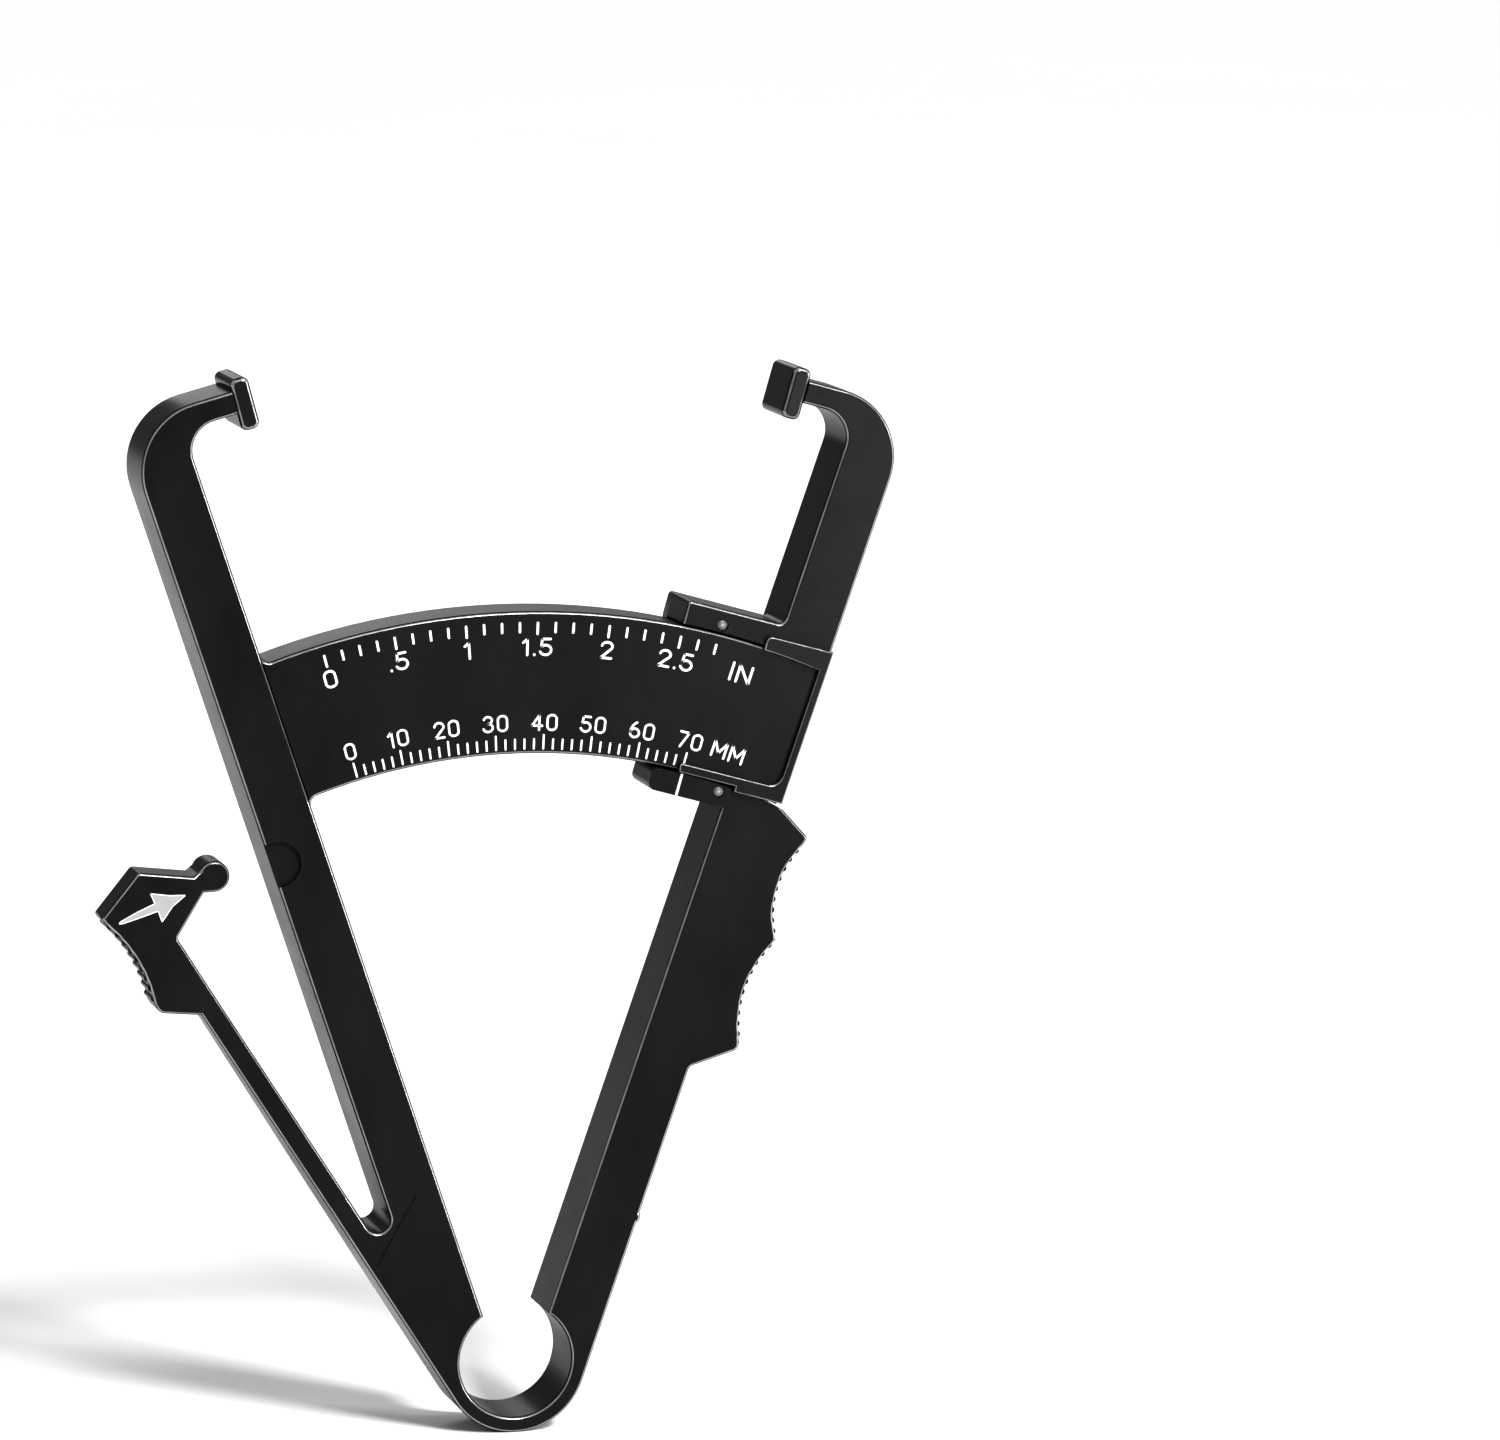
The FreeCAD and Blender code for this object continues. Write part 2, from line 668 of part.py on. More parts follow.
def make_moving_arm():
    """The right arm with its jaw's neck, the upper guide bar, the channel and the finger grips."""
    body = new_body("moving_arm", "Sizes.rest_angle")
    outer = size.ring_outer_radius
    grip_start = arm_edge_at_height(outer, size.grip_top)
    grip_end = arm_edge_at_height(outer, size.grip_end)
    peak = (size.grip_peak_reach, size.grip_peak_height)
    first_ridge = (size.grip_ridge_reach, size.grip_ridge_height)
    cusp = (size.grip_cusp_reach, size.grip_cusp_height)
    grip_foot = (size.grip_foot_reach, size.grip_foot_height)
    last_ridge = (grip_foot[0], grip_foot[1] + size.grip_corner)

    outline = Outline(1, ring_root())
    jaw_end(outline)
    outline.line(grip_start)
    outline.rounded(peak, size.grip_peak_corner, first_ridge)
    outline.line(first_ridge)
    outline.arc(hollow(first_ridge, cusp, size.grip_hollow), cusp)
    outline.arc(hollow(cusp, last_ridge, size.grip_hollow), last_ridge)
    outline.rounded(grip_foot, size.grip_foot_corner, grip_end)
    outline.rounded(grip_end, size.grip_corner, on_arm(outer, 0))
    mark = size.gate_mark_height
    outline.line(on_arm(outer, mark + size.gate_mark_half_length))
    mark_foot = on_arm(outer, mark - size.gate_mark_half_length)
    outline.arc(on_arm(outer + size.gate_mark_bulge, mark), mark_foot)
    outline.line(on_arm(outer, 0), on_arm(size.ring_inner_radius, 0))
    ring_top = math.degrees(math.atan2(*ring_root()))
    outline.arc(polar(size.ring_inner_radius, (size.arm_lean + 90 + ring_top) / 2), ring_root())
    slab(body, "arm_plate", FRONT, BACK, outline)

    inside_arm = size.arm_inner_offset + size.bar_root_fillet
    arm_above = arm_edge_at_height(size.arm_inner_offset, bar_top + 2 * size.bar_root_fillet)
    bar = Outline(1, on_arm(inside_arm, at_radius(inside_arm, channel_high)))
    bar.arc(polar(channel_high, 0), (-size.guide_reach, at_radius(size.guide_reach, channel_high)))
    bar.rounded((-size.guide_reach, bar_top), size.bar_corner, (0, bar_top))
    bar.rounded(arm_edge_at_height(size.arm_inner_offset, bar_top), size.bar_root_fillet, arm_above)
    bar.line(arm_edge_at_height(inside_arm, bar.here[1]))
    slab(body, "guide_bar", FRONT, WEB_FRONT, bar.close())
    pocket(body, "channel", FRONT, "Sizes.plate_thickness + Sizes.web_clearance", channel_outline())

    def free_edge(point):
        radius = math.hypot(point.x, point.z)
        on_ring_joint = abs(turned((point.x, point.z), -size.arm_lean)[1]) < SAME
        on_channel = abs(radius - channel_low) < SAME or abs(radius - channel_high) < SAME
        on_neck_end = point.x < size.pad_width + SAME and point.z > size.neck_low - SAME
        return on_outer_faces(point) and not (on_ring_joint or on_channel or on_neck_end)

    treat_edges(body, "Chamfer", "arm_break", "Sizes.edge_break", free_edge)
    ridges(body, "grip_ridges", 1, "-Sizes.thickness / 2 + Sizes.ridge_setback",
           "Sizes.thickness / 2 - Sizes.ridge_setback",
           (first_ridge, cusp, size.grip_hollow), (cusp, last_ridge, size.grip_hollow))
    pin_hole(body, "upper", upper_pin, FRONT, "Sizes.plate_thickness + Sizes.web_clearance")


def pin_hole(body, name, centre, front, depth):
    """A hole for a pin's shank with a round sink for its head."""
    for part, radius, deep in (("hole", "Sizes.pin_radius + Sizes.pin_clearance", depth),
                               ("sink", "Sizes.pin_sink_radius", "Sizes.pin_sink_depth")):
        sketch = new_sketch(body, "%s_pin_%s_outline" % (name, part), "-(%s)" % front)
        draw_circle(sketch, 1, centre, size.pin_radius, radius)
        cut = body.newObject("PartDesign::Pocket", "%s_pin_%s" % (name, part))
        cut.Profile = sketch
        cut.setExpression("Length", deep)
        document.recompute()


def make_lower_guide():
    """The short clip under the scale plate; its front laps a little over the arm."""
    body = new_body("lower_guide", "Sizes.rest_angle")
    foot = lower_guide_foot
    left = -size.lower_guide_reach
    arm_foot = arm_edge_at_height(size.arm_inner_offset, foot)
    arm_crown = on_arm(size.arm_inner_offset, at_radius(size.arm_inner_offset, channel_low))
    nose = size.lower_guide_nose
    corner = size.lower_guide_corner
    nose_top = at_radius(left, channel_low)
    arc_bulge = 1 - math.sqrt(0.5)

    def free_end(outline):
        """Carry an outline round the guide's free end, up onto the channel's edge."""
        outline.rounded((left, foot), corner, (left, nose_top))
        outline.line((left, nose_top - nose))
        outline.arc((left + nose * arc_bulge, nose_top - nose * arc_bulge),
                    (left + nose, at_radius(left + nose, channel_low)))

    outline = Outline(1, arm_foot)
    free_end(outline)
    outline.arc(polar(channel_low, 0), arm_crown)
    slab(body, "clip", FRONT, WEB_FRONT, outline.close())

    right = arm_crown[0] + size.lower_guide_lap
    right_top = at_radius(right, channel_low)
    lap = Outline(1, (0, foot))
    free_end(lap)
    lap.arc(polar(channel_low, 0), (right - corner, at_radius(right - corner, channel_low)))
    lap.arc((right - corner * arc_bulge, right_top - corner * arc_bulge), (right, right_top - corner))
    lap.rounded((right, foot), corner, (0, foot))
    slab(body, "lap", FRONT + " - Sizes.lower_guide_proud", FRONT, lap.close())

    line_half = size.index_line_width / 2
    line_foot = foot - size.index_line_width
    line_crown = channel_low + size.index_line_width
    line = Outline(1, (-line_half, line_foot))
    line.line((line_half, line_foot), (line_half, line_crown), (-line_half, line_crown))
    pocket(body, "index_line", FRONT + " - Sizes.lower_guide_proud", "Sizes.index_line_depth",
           line.close())
    pin_hole(body, "lower", lower_pin, FRONT + " - Sizes.lower_guide_proud",
             "Sizes.lower_guide_proud + Sizes.plate_thickness + Sizes.web_clearance")


def make_guide_keeper():
    """The flat plate behind the scale plate that closes the channel and takes both pins."""
    body = new_body("guide_keeper", "Sizes.rest_angle")
    foot = lower_guide_foot
    low_left = (-size.keeper_low_reach, foot)
    low_corner = (-size.keeper_low_reach, channel_low)
    high_corner = (-size.guide_reach, at_radius(size.guide_reach, channel_high))
    high_left = (-size.guide_reach, bar_top)
    arm_foot = arm_edge_at_height(size.arm_inner_offset, foot)
    arm_crown = arm_edge_at_height(size.arm_inner_offset, bar_top)
    outline = Outline(1, arm_foot)
    outline.rounded(low_left, size.lower_guide_corner, low_corner)
    outline.line(low_corner, high_corner)
    outline.rounded(high_left, size.bar_corner, arm_crown)
    outline.line(arm_crown)
    slab(body, "keeper", WEB_FRONT, BACK, outline.close())

    def free_edge(point):
        across = turned((point.x, point.z), -size.arm_lean)[0]
        return abs(point.y - half_thickness) < SAME and across < size.arm_inner_offset - SAME

    treat_edges(body, "Chamfer", "keeper_break", "Sizes.edge_break", free_edge)
    for name, centre in (("upper", upper_pin), ("lower", lower_pin)):
        sketch = new_sketch(body, name + "_seat_outline", "-(%s)" % WEB_FRONT)
        draw_circle(sketch, 1, centre, size.pin_radius, "Sizes.pin_radius + Sizes.pin_clearance")
        seat = body.newObject("PartDesign::Pocket", name + "_seat")
        seat.Profile = sketch
        seat.setExpression("Length", "Sizes.pin_anchor")
        document.recompute()


def make_guide_pin(name, centre, front):
    """A headed pin from the front of a guide into the keeper."""
    body = new_body(name, "Sizes.rest_angle")
    head_front = front + " + Sizes.pin_head_drop"
    head_back = front + " + Sizes.pin_sink_depth"
    for part, radius, start, end in (
            ("head", "Sizes.pin_head_radius", head_front, head_back),
            ("shank", "Sizes.pin_radius", head_back, WEB_FRONT + " + Sizes.pin_anchor")):
        sketch = new_sketch(body, part + "_outline", "-(%s)" % end)
        draw_circle(sketch, 1, centre, size.pin_radius, radius)
        pad = body.newObject("PartDesign::Pad", part)
        pad.Profile = sketch
        pad.setExpression("Length", "(%s) - (%s)" % (end, start))
        document.recompute()
    foremost = min(vertex.Point.y for vertex in body.Tip.Shape.Vertexes)
    treat_edges(body, "Chamfer", "pin_break", "Sizes.pin_head_break",
                lambda point: abs(point.y - foremost) < SAME)


def make_window_frame():
    """The raised rim over the scale plate's right part; it holds the plate in its channel."""
    body = new_body("window_frame", "Sizes.rest_angle")
    outer = size.ring_outer_radius
    rim = outer - size.frame_rim_width
    inner_radius = size.plate_high_radius - size.frame_top_lap
    top_inner = at_radius(size.frame_left, inner_radius)
    top = top_inner + size.frame_top_width
    low = channel_low + size.frame_gap
    low_inner = low + size.frame_low_width
    foot = low - size.frame_step
    arm_edge = arm_edge_at_height(size.arm_inner_offset, foot)
    step = arm_edge[0] + size.lower_guide_lap + size.frame_gap
    top_left = (size.frame_left, top)
    inner_top_left = (size.frame_left, top_inner)
    low_left = (-size.frame_low_left, low)
    inner_low_left = (-size.frame_low_left, low_inner)
    outline = Outline(1, inner_top_left)
    outline.rounded(top_left, size.frame_top_corner, arm_edge_at_height(outer, top))
    outline.line(arm_edge_at_height(outer, top), arm_edge_at_height(outer, foot))
    outline.line((step, foot), (step, low), low_left, inner_low_left)
    inner_top_right = on_arm(rim, at_radius(rim, inner_radius))
    crown = middle(inner_top_left, inner_top_right)[0]
    outline.rounded(arm_edge_at_height(rim, low_inner), size.frame_corner, inner_top_right)
    outline.line(inner_top_right)
    outline.arc((crown, at_radius(crown, inner_radius)), inner_top_left)
    front = FRONT + " - Sizes.frame_proud"
    slab(body, "rim", front, FRONT, outline)

    def free_edge(point):
        return abs(point.y + half_thickness + size.frame_proud) < SAME

    treat_edges(body, "Chamfer", "rim_break", "Sizes.frame_edge_break", free_edge)
    pocket(body, "bridge", FRONT + " - Sizes.rim_clearance", "Sizes.rim_clearance",
           channel_outline())


# ---------------------------------------------------------------- the whole tool

make_fixed_arm()
make_scale_plate()
make_jaw_pad("fixed_jaw_pad", -1, "-Sizes.rest_angle")
make_lever_flexure()
make_lever_beam()
make_thumb_head()
make_ring_spring()
make_moving_arm()
make_jaw_pad("moving_jaw_pad", 1, "Sizes.rest_angle")
make_lower_guide()
make_guide_keeper()
make_guide_pin("upper_guide_pin", upper_pin, FRONT)
make_guide_pin("lower_guide_pin", lower_pin, FRONT + " - Sizes.lower_guide_proud")
make_window_frame()

document.recompute()
for item in document.Objects:
    if "Invalid" in item.State or "Error" in item.State:
        raise RuntimeError("%s did not build: %s" % (item.Name, item.State))
for body in bodies:
    if body.Shape.isNull() or not body.Shape.isValid() or len(body.Shape.Solids) != 1:
        raise RuntimeError("%s is not one valid solid" % body.Label)

os.makedirs("parts", exist_ok=True)
for body in bodies:
    body.Shape.exportStep("parts/%s.step" % body.Label)
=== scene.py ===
import math
import bpy
import bmesh
from mathutils import Matrix, Vector


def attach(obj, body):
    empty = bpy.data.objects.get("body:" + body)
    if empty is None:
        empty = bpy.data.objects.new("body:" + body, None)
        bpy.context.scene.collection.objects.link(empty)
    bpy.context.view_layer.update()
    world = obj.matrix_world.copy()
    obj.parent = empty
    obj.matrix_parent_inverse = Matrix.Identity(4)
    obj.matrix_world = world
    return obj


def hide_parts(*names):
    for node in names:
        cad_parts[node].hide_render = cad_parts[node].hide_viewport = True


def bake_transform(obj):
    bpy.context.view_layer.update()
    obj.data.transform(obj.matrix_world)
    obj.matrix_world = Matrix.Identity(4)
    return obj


# The looks of a skinfold caliper. Lengths are millimetres until they reach a mesh, which is in metres.
# Patterns, bumps, modifiers, lights and the camera's clip are in metres from the start.
# The origin is the ring's centre; X is across, Y is away from the printed face, Z is up.

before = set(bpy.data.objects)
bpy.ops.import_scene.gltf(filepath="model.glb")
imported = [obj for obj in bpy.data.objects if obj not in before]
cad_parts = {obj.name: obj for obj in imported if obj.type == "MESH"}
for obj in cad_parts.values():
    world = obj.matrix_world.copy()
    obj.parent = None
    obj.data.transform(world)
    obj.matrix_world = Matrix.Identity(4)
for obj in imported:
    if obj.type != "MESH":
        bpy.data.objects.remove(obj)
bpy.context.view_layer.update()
MM = 0.001

# ---------------------------------------------------------------- sizes shared with the solids

HALF_THICKNESS = 5.2
FRONT = -HALF_THICKNESS
BACK = HALF_THICKNESS
JAW_RADIUS = 130.56
OPENING = 70.0
REST = math.degrees(math.asin(OPENING / 2 / JAW_RADIUS))
ARM_LEAN = 3.3
LEVER_LEAN = 13.7
LEVER_TURN = -(REST + ARM_LEAN + LEVER_LEAN)
RING_INNER = 7.45
RING_OUTER = 9.5
EDGE = 0.45
LEVER_THICKNESS = 2.78
LEVER_INNER = RING_OUTER - LEVER_THICKNESS
LEVER_ROOT_RADIUS = 1.65
FLEXURE_LENGTH = 5.0
PLATE_LOW_RADIUS = 79.6
CHANNEL_CLEARANCE = 0.25
CHANNEL_LOW = PLATE_LOW_RADIUS - CHANNEL_CLEARANCE
GUIDE_WIDTH = 2.95
GUIDE_PROUD = 0.5
INDEX_GROOVE_DEPTH = 0.12
HEAD_HALF = 2.9


def leaned(across, along, degrees):
    """A point on a face turned by an angle from straight up, positive to the right."""
    a = math.radians(degrees)
    return (across * math.cos(a) + along * math.sin(a), along * math.cos(a) - across * math.sin(a))


# ---------------------------------------------------------------- materials

PLASTIC_IOR = 1.49
PLASTIC_SHINE = 0.042
POLISH_IOR = 2.6
POLISH_ROUGHNESS = 0.27
WEAR_AND_HIGHLIGHT_TONE = 0.14
SPECK_LIFT = 2.4
ROUGHER_IN_SCUFFS = 0.06
SMOOTHER_WHERE_WORN = 0.06
INK_SHINE = 0.35
PAPER_ROUGHNESS = 0.85
PAPER_SHINE = 0.2
# Where each edge mask starts and where it is full.
# It follows the normal's Y part times its part across Y: 0 on a flat face or side, 0.5 at 45 degrees.
POLISHED_EDGE = (0.30, 0.46)
# The second mask sets the paler edge tone, partly abrasion and partly a painted highlight.
WEAR_AND_HIGHLIGHT_EDGE = (0.34, 0.47)
# Painted shade darkens the edge of each pin head, where it sits in its hole.
PIN_RIM_SHADE = (0.07, 0.28)
PIN_RIM_SHADE_STRENGTH = 0.8


class Nodes:
    """A small builder for one node material."""

    def __init__(self, name):
        self.material = bpy.data.materials.new(name)
        self.material.use_nodes = True
        self.tree = self.material.node_tree
        self.tree.nodes.clear()
        output = self.new("ShaderNodeOutputMaterial")
        self.shader = self.new("ShaderNodeBsdfPrincipled")
        self.link(self.shader.outputs[0], output.inputs["Surface"])
        coordinates = self.new("ShaderNodeTexCoord")
        self.place = coordinates.outputs["Object"]
        self.normal = coordinates.outputs["Normal"]

    def link(self, source, target):
        self.tree.links.new(source, target)

    def new(self, kind, **values):
        node = self.tree.nodes.new(kind)
        for key, value in values.items():
            setattr(node, key, value)
        return node

    def feed(self, socket, value):
        """Link another node's output to the socket, or set the socket to a plain value."""
        if isinstance(value, bpy.types.NodeSocket):
            self.link(value, socket)
        else:
            socket.default_value = value

    def give(self, name, value):
        """Feed one of the shader's own sockets."""
        self.feed(self.shader.inputs[name], value)

    def noise(self, scale, detail=3.0, roughness=0.55, place=None):
        """Cloudy noise; the scale is how many features it has in a metre."""
        node = self.new("ShaderNodeTexNoise")
        node.inputs["Scale"].default_value = scale
        node.inputs["Detail"].default_value = detail
        node.inputs["Roughness"].default_value = roughness
        self.link(place or self.place, node.inputs["Vector"])
        return node.outputs["Fac"]

    def cells(self, scale):
        node = self.new("ShaderNodeTexVoronoi", feature="SMOOTH_F1")
        node.inputs["Scale"].default_value = scale
        self.link(self.place, node.inputs["Vector"])
        return node.outputs["Distance"]

    def stretched(self, x, y, z):
        """The place with each axis scaled; a pattern is drawn out along an axis below 1."""
        node = self.new("ShaderNodeMapping")
        node.inputs["Scale"].default_value = (x, y, z)
        self.link(self.place, node.inputs["Vector"])
        return node.outputs["Vector"]

    def between(self, value, low, high, out_low=0.0, out_high=1.0):
        """The value's run from low to high, spread from out_low to out_high and held at both ends."""
        node = self.new("ShaderNodeMapRange")
        self.link(value, node.inputs["Value"])
        for name, number in (("From Min", low), ("From Max", high),
                             ("To Min", out_low), ("To Max", out_high)):
            node.inputs[name].default_value = number
        return node.outputs["Result"]

    def mixed(self, factor, first, second):
        """From the first colour to the second; a Mix node's colours are sockets 6 and 7, and output 2."""
        node = self.new("ShaderNodeMix", data_type="RGBA")
        self.link(factor, node.inputs["Factor"])
        self.feed(node.inputs[6], first)
        self.feed(node.inputs[7], second)
        return node.outputs[2]

    def maths(self, operation, first, second=0.0):
        node = self.new("ShaderNodeMath", operation=operation)
        self.feed(node.inputs[0], first)
        self.feed(node.inputs[1], second)
        return node.outputs[0]

    def edges(self, low, high):
        """1 along the rounded edges of the front and back faces, and 0 on open faces."""
        parts = self.new("ShaderNodeSeparateXYZ")
        self.link(self.normal, parts.inputs[0])
        depth = self.maths("ABSOLUTE", parts.outputs["Y"])
        side = self.maths("SQRT", self.maths("SUBTRACT", 1.0, self.maths("MULTIPLY", depth, depth)))
        return self.between(self.maths("MULTIPLY", depth, side), low, high)

    def bump(self, height, distance, strength, under=None):
        node = self.new("ShaderNodeBump")
        node.inputs["Distance"].default_value = distance
        node.inputs["Strength"].default_value = strength
        self.link(height, node.inputs["Height"])
        if under:
            self.link(under, node.inputs["Normal"])
        return node.outputs["Normal"]


def cool_grey(value):
    """A grey that is very slightly blue."""
    return (value, value, value * 1.01, 1.0)


def grey(value):
    return (value, value, value, 1.0)


def moulded_plastic(name, dark, light, smooth, rough, grain):
    """Satin moulded plastic: fine grain, faint flow marks, hairline scuffs and polished edges, made paler
    partly as abrasion and partly as a painted highlight.
    """
    m = Nodes(name)
    flow = m.noise(95.0, detail=4.0, roughness=0.6, place=m.stretched(1.0, 0.5, 0.45))
    speck = m.between(m.noise(5200.0, detail=1.0), 0.66, 0.74, out_high=0.35)
    edge_tone_patches = m.between(m.noise(260.0, detail=4.0), 0.36, 0.62, out_low=0.45)
    # The paler edge tone is partly abrasion and partly a painted highlight along the rounded edges.
    wear_and_highlight = m.maths("MULTIPLY", m.edges(*WEAR_AND_HIGHLIGHT_EDGE), edge_tone_patches)
    tone = m.mixed(m.between(flow, 0.35, 0.68), cool_grey(dark), cool_grey(light))
    tone = m.mixed(speck, tone, cool_grey(light * SPECK_LIFT))
    m.give("Base Color", m.mixed(wear_and_highlight, tone, cool_grey(WEAR_AND_HIGHLIGHT_TONE)))

    scuff_noise = m.noise(900.0, detail=3.0, roughness=0.6, place=m.stretched(0.06, 0.06, 2.2))
    scuff = m.between(scuff_noise, 0.60, 0.72)
    patches = m.between(m.noise(60.0), 0.35, 0.7, smooth, rough)
    scuffed = m.maths("ADD", patches, m.maths("MULTIPLY", scuff, ROUGHER_IN_SCUFFS))
    smoothed = m.maths("MULTIPLY", wear_and_highlight, SMOOTHER_WHERE_WORN)
    m.give("Roughness", m.maths("SUBTRACT", scuffed, smoothed))
    m.give("IOR", PLASTIC_IOR)
    m.give("Specular IOR Level", PLASTIC_SHINE)

    rubbed = m.between(m.noise(420.0), 0.35, 0.6, out_low=0.65)
    m.give("Coat Weight", m.maths("MULTIPLY", m.edges(*POLISHED_EDGE), rubbed))
    m.give("Coat Roughness", POLISH_ROUGHNESS)
    m.give("Coat IOR", POLISH_IOR)

    fine = m.maths("MULTIPLY", m.noise(2600.0, detail=2.0), 0.6)
    pores = m.maths("MULTIPLY", m.cells(3400.0), 0.5)
    wavy = m.bump(m.noise(140.0, detail=2.0), distance=0.00012, strength=0.2)
    m.give("Normal", m.bump(m.maths("ADD", fine, pores), distance=0.000012, strength=grain, under=wavy))
    return m.material


def print_ink(name, colour, worn_colour):
    """Pad-printed ink: a little uneven in tone, with pinholes and a dry, slightly rough surface."""
    m = Nodes(name)
    cloud = m.between(m.noise(900.0, detail=4.0, roughness=0.65), 0.40, 0.72, out_high=0.55)
    holes = m.between(m.noise(5200.0, detail=2.0), 0.70, 0.78, out_high=0.6)
    m.give("Base Color", m.mixed(m.maths("MAXIMUM", cloud, holes), colour, worn_colour))
    m.give("Roughness", m.between(m.noise(1500.0), 0.3, 0.7, 0.42, 0.62))
    m.give("Specular IOR Level", INK_SHINE)
    m.give("Normal", m.bump(m.noise(3800.0), distance=0.000008, strength=0.5))
    return m.material


def pin_finish():
    """Grey satin pin heads, their edges darkened by painted shade, with a slightly uneven surface."""
    m = Nodes("pin_finish")
    # Painted shade darkens the edge of each pin head, where it sits in its hole.
    rim_shade = m.maths("MULTIPLY", m.edges(*PIN_RIM_SHADE), PIN_RIM_SHADE_STRENGTH)
    tone = m.mixed(m.between(m.noise(1200.0, detail=4.0), 0.35, 0.7), cool_grey(0.18), cool_grey(0.27))
    m.give("Base Color", m.mixed(rim_shade, tone, cool_grey(0.03)))
    m.give("Roughness", m.between(m.noise(2200.0), 0.3, 0.7, 0.28, 0.42))
    m.give("Normal", m.bump(m.noise(3000.0), distance=0.00001, strength=0.5))
    return m.material


def floor_finish():
    """Matt pale studio paper with a faint tooth."""
    m = Nodes("studio_paper")
    m.give("Base Color", m.mixed(m.noise(3.0), grey(0.80), grey(0.83)))
    m.give("Roughness", PAPER_ROUGHNESS)
    m.give("Specular IOR Level", PAPER_SHINE)
    m.give("Normal", m.bump(m.noise(400.0, detail=4.0), distance=0.0001, strength=0.15))
    return m.material


BODY_PLASTIC = moulded_plastic("satin_black_plastic", dark=0.0025, light=0.0050,
                               smooth=0.27, rough=0.35, grain=0.40)
PAD_PLASTIC = moulded_plastic("jaw_black_plastic", dark=0.0036, light=0.0062,
                              smooth=0.22, rough=0.30, grain=0.25)
FRAME_PLASTIC = moulded_plastic("frame_black_plastic", dark=0.0036, light=0.0062,
                                smooth=0.25, rough=0.33, grain=0.32)
WHITE_INK = print_ink("white_ink", (0.86, 0.86, 0.85, 1.0), (0.66, 0.66, 0.65, 1.0))
GREY_INK = print_ink("grey_ink", grey(0.29), grey(0.24))
PIN_GREY = pin_finish()

# ---------------------------------------------------------------- soft edges

SHARP_FROM = 62
FLAT_WITHIN = 0.3
WELD_WITHIN = 0.000002
FACE_WEIGHT = 100
FACE_THRESHOLD = 0.0000001


def edge_rule(name, sharp_from):
    """A node group that keeps edges sharper than the angle crisp and shades the rest smooth."""
    group = bpy.data.node_groups.new(name, "GeometryNodeTree")
    group.interface.new_socket("Geometry", in_out="INPUT", socket_type="NodeSocketGeometry")
    group.interface.new_socket("Geometry", in_out="OUTPUT", socket_type="NodeSocketGeometry")
    new = group.nodes.new
    source, target = new("NodeGroupInput"), new("NodeGroupOutput")
    plain = new("GeometryNodeRemoveAttribute")
    plain.inputs["Name"].default_value = "custom_normal"
    smooth_faces = new("GeometryNodeSetShadeSmooth")
    angle = new("GeometryNodeInputMeshEdgeAngle")
    sharp = new("FunctionNodeCompare")
    sharp.operation = "GREATER_THAN"
    sharp.inputs[1].default_value = math.radians(sharp_from)
    sharp_edges = new("GeometryNodeSetShadeSmooth")
    sharp_edges.domain = "EDGE"
    sharp_edges.inputs["Shade Smooth"].default_value = False
    for first, second in ((source.outputs[0], plain.inputs[0]),
                          (plain.outputs[0], smooth_faces.inputs[0]),
                          (smooth_faces.outputs[0], sharp_edges.inputs[0]),
                          (angle.outputs[0], sharp.inputs[0]),
                          (sharp.outputs[0], sharp_edges.inputs["Selection"]),
                          (sharp_edges.outputs[0], target.inputs[0])):
        group.links.new(first, second)
    return group


SOFT_EDGES = edge_rule("soft_edges", SHARP_FROM)


def soften(piece):
    """Join the solid's facets, then shade each narrow edge break as a round between its two faces."""
    weld = piece.modifiers.new("weld", "WELD")
    weld.merge_threshold = WELD_WITHIN
    flat = piece.modifiers.new("flat_faces", "DECIMATE")
    flat.decimate_type = "DISSOLVE"
    flat.angle_limit = math.radians(FLAT_WITHIN)
    rule = piece.modifiers.new("edge_rule", "NODES")
    rule.node_group = SOFT_EDGES
    weighted = piece.modifiers.new("face_weights", "WEIGHTED_NORMAL")
    weighted.mode = "FACE_AREA"
    weighted.weight = FACE_WEIGHT
    weighted.thresh = FACE_THRESHOLD
    weighted.keep_sharp = True


def dress(piece, material):
    piece.data.materials.clear()
    piece.data.materials.append(material)
    soften(piece)


FINISHES = (
    (BODY_PLASTIC, ("fixed_arm", "scale_plate", "lever_beam", "thumb_head", "moving_arm", "lower_guide",
                    "guide_keeper")),
    (PAD_PLASTIC, ("fixed_jaw_pad", "moving_jaw_pad")),
    (FRAME_PLASTIC, ("window_frame",)),
    (PIN_GREY, ("upper_guide_pin", "lower_guide_pin")),
)
for finish, nodes in FINISHES:
    for node in nodes:
        dress(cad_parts[node], finish)

# ---------------------------------------------------------------- meshes


def mesh_object(name, build, material):
    """A mesh object in millimetres, built by the function into a bmesh, then scaled to metres."""
    mesh = bpy.data.meshes.new(name)
    made = bmesh.new()
    build(made)
    bmesh.ops.recalc_face_normals(made, faces=made.faces)
    bmesh.ops.scale(made, vec=(MM, MM, MM), verts=made.verts)
    made.to_mesh(mesh)
    made.free()
    piece = bpy.data.objects.new(name, mesh)
    bpy.context.scene.collection.objects.link(piece)
    piece.data.materials.append(material)
    return piece


# ---------------------------------------------------------------- the two parts that bend

RING_STEPS = 64
FLEXURE_STEPS = 16


